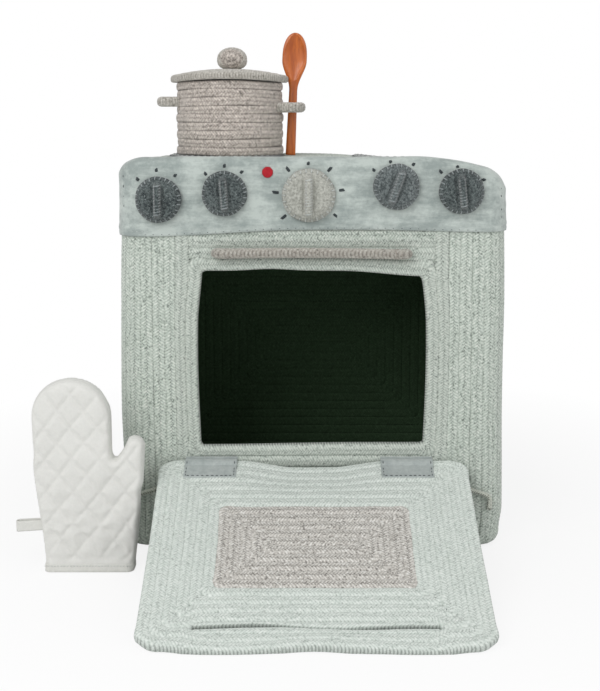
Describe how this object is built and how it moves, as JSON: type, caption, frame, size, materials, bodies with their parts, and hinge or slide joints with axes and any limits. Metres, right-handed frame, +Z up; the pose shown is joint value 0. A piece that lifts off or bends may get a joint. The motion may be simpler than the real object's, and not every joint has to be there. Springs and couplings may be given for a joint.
{
  "type": "toy oven",
  "caption": "Soft play oven of coiled cotton braid with felt controls, a drop-down door, a lidded pot, a spoon and a quilted mitt.",
  "frame": {"origin": "centre of the oven's flat underside, on the floor", "axes": "+Z up, the door faces -Y, +X to the viewer's right when facing the door"},
  "size_m": [0.5381, 0.5575, 0.5839],
  "materials": {
    "sage_braid": "coiled cotton braid, matt",
    "pale_braid": "coiled cotton braid, matt",
    "door_braid": "coiled cotton braid, matt",
    "dark_braid": "coiled cotton braid, dark green, matt",
    "window_braid": "coiled cotton braid, greige, matt",
    "greige_braid": "braided cotton cord, matt",
    "pot_braid": "coiled cotton braid, warm grey, matt",
    "panel_felt": "felt, grey green",
    "grey_felt": "felt, grey",
    "dark_felt": "felt, dark grey",
    "greige_felt": "felt, greige",
    "red_felt": "felt, red",
    "pale_cord": "thin cotton cord",
    "joint_plastic": "moulded plastic, natural",
    "spoon_wood": "oiled wood",
    "mitt_cotton": "quilted cotton",
    "mitt_binding": "cotton tape"
  },
  "bodies": {
    "oven": {"front_wall": "sage_braid", "left_wall": "sage_braid", "right_wall": "sage_braid", "back_wall": "sage_braid", "base_panel": "sage_braid", "hob_top": "sage_braid", "opening_frame": "pale_braid", "cavity_back": "dark_braid", "cavity_floor": "dark_braid", "cavity_ceiling": "dark_braid", "cavity_left": "dark_braid", "cavity_right": "dark_braid", "control_panel": "panel_felt", "bar_handle": "greige_braid", "indicator_dot": "red_felt", "burner_discs": "dark_felt", "hinge_strap_left": "grey_felt", "hinge_strap_right": "grey_felt", "side_cord_left": "pale_cord", "side_cord_right": "pale_cord", "knob_washers": "joint_plastic"},
    "door": {"door_panel": "door_braid", "door_window": "window_braid"},
    "knob_1": {"knob_1_pad": "dark_felt", "knob_1_stem": "joint_plastic"},
    "knob_2": {"knob_2_pad": "dark_felt", "knob_2_stem": "joint_plastic"},
    "knob_3": {"knob_3_pad": "greige_felt", "knob_3_stem": "joint_plastic"},
    "knob_4": {"knob_4_pad": "dark_felt", "knob_4_stem": "joint_plastic"},
    "knob_5": {"knob_5_pad": "dark_felt", "knob_5_stem": "joint_plastic"},
    "pot": {"pot_body": "pot_braid", "pot_handle_left": "pot_braid", "pot_handle_right": "pot_braid"},
    "pot_lid": {"lid_disc": "pot_braid", "lid_knob": "pot_braid"},
    "spoon": {"spoon": "spoon_wood"},
    "mitt": {"mitt_shell": "mitt_cotton", "mitt_hem": "mitt_binding", "mitt_loop": "mitt_binding"}
  },
  "joints": [
    {"name": "door_hinge", "type": "hinge", "parent": "oven", "child": "door", "pos_m": [0, -0.1586, 0.1], "axis": [-1, 0, 0], "range_deg": [0, 111.2]},
    {"name": "knob_1_turn", "type": "hinge", "parent": "oven", "child": "knob_1", "pos_m": [-0.1675, -0.1524, 0.3995], "axis": [0, -1, 0], "continuous": true},
    {"name": "knob_2_turn", "type": "hinge", "parent": "oven", "child": "knob_2", "pos_m": [-0.0955, -0.1524, 0.406], "axis": [0, -1, 0], "continuous": true},
    {"name": "knob_3_turn", "type": "hinge", "parent": "oven", "child": "knob_3", "pos_m": [-0.0035, -0.1524, 0.404], "axis": [0, -1, 0], "continuous": true},
    {"name": "knob_4_turn", "type": "hinge", "parent": "oven", "child": "knob_4", "pos_m": [0.092, -0.1524, 0.4135], "axis": [0, -1, 0], "continuous": true},
    {"name": "knob_5_turn", "type": "hinge", "parent": "oven", "child": "knob_5", "pos_m": [0.163, -0.1524, 0.4085], "axis": [0, -1, 0], "continuous": true},
    {"name": "pot_lift", "type": "slide", "parent": "oven", "child": "pot", "axis": [0, 0, 1], "range_m": [0, 0.18]},
    {"name": "lid_lift", "type": "slide", "parent": "pot", "child": "pot_lid", "axis": [-0.6, 0, 0.8], "range_m": [0, 0.14]},
    {"name": "spoon_lift", "type": "slide", "parent": "pot", "child": "spoon", "axis": [0.0454, 0, 0.999], "range_m": [0, 0.14]},
    {"name": "mitt_lift", "type": "slide", "parent": "oven", "child": "mitt", "axis": [0, 0, 1], "range_m": [0, 0.25]}
  ]
}
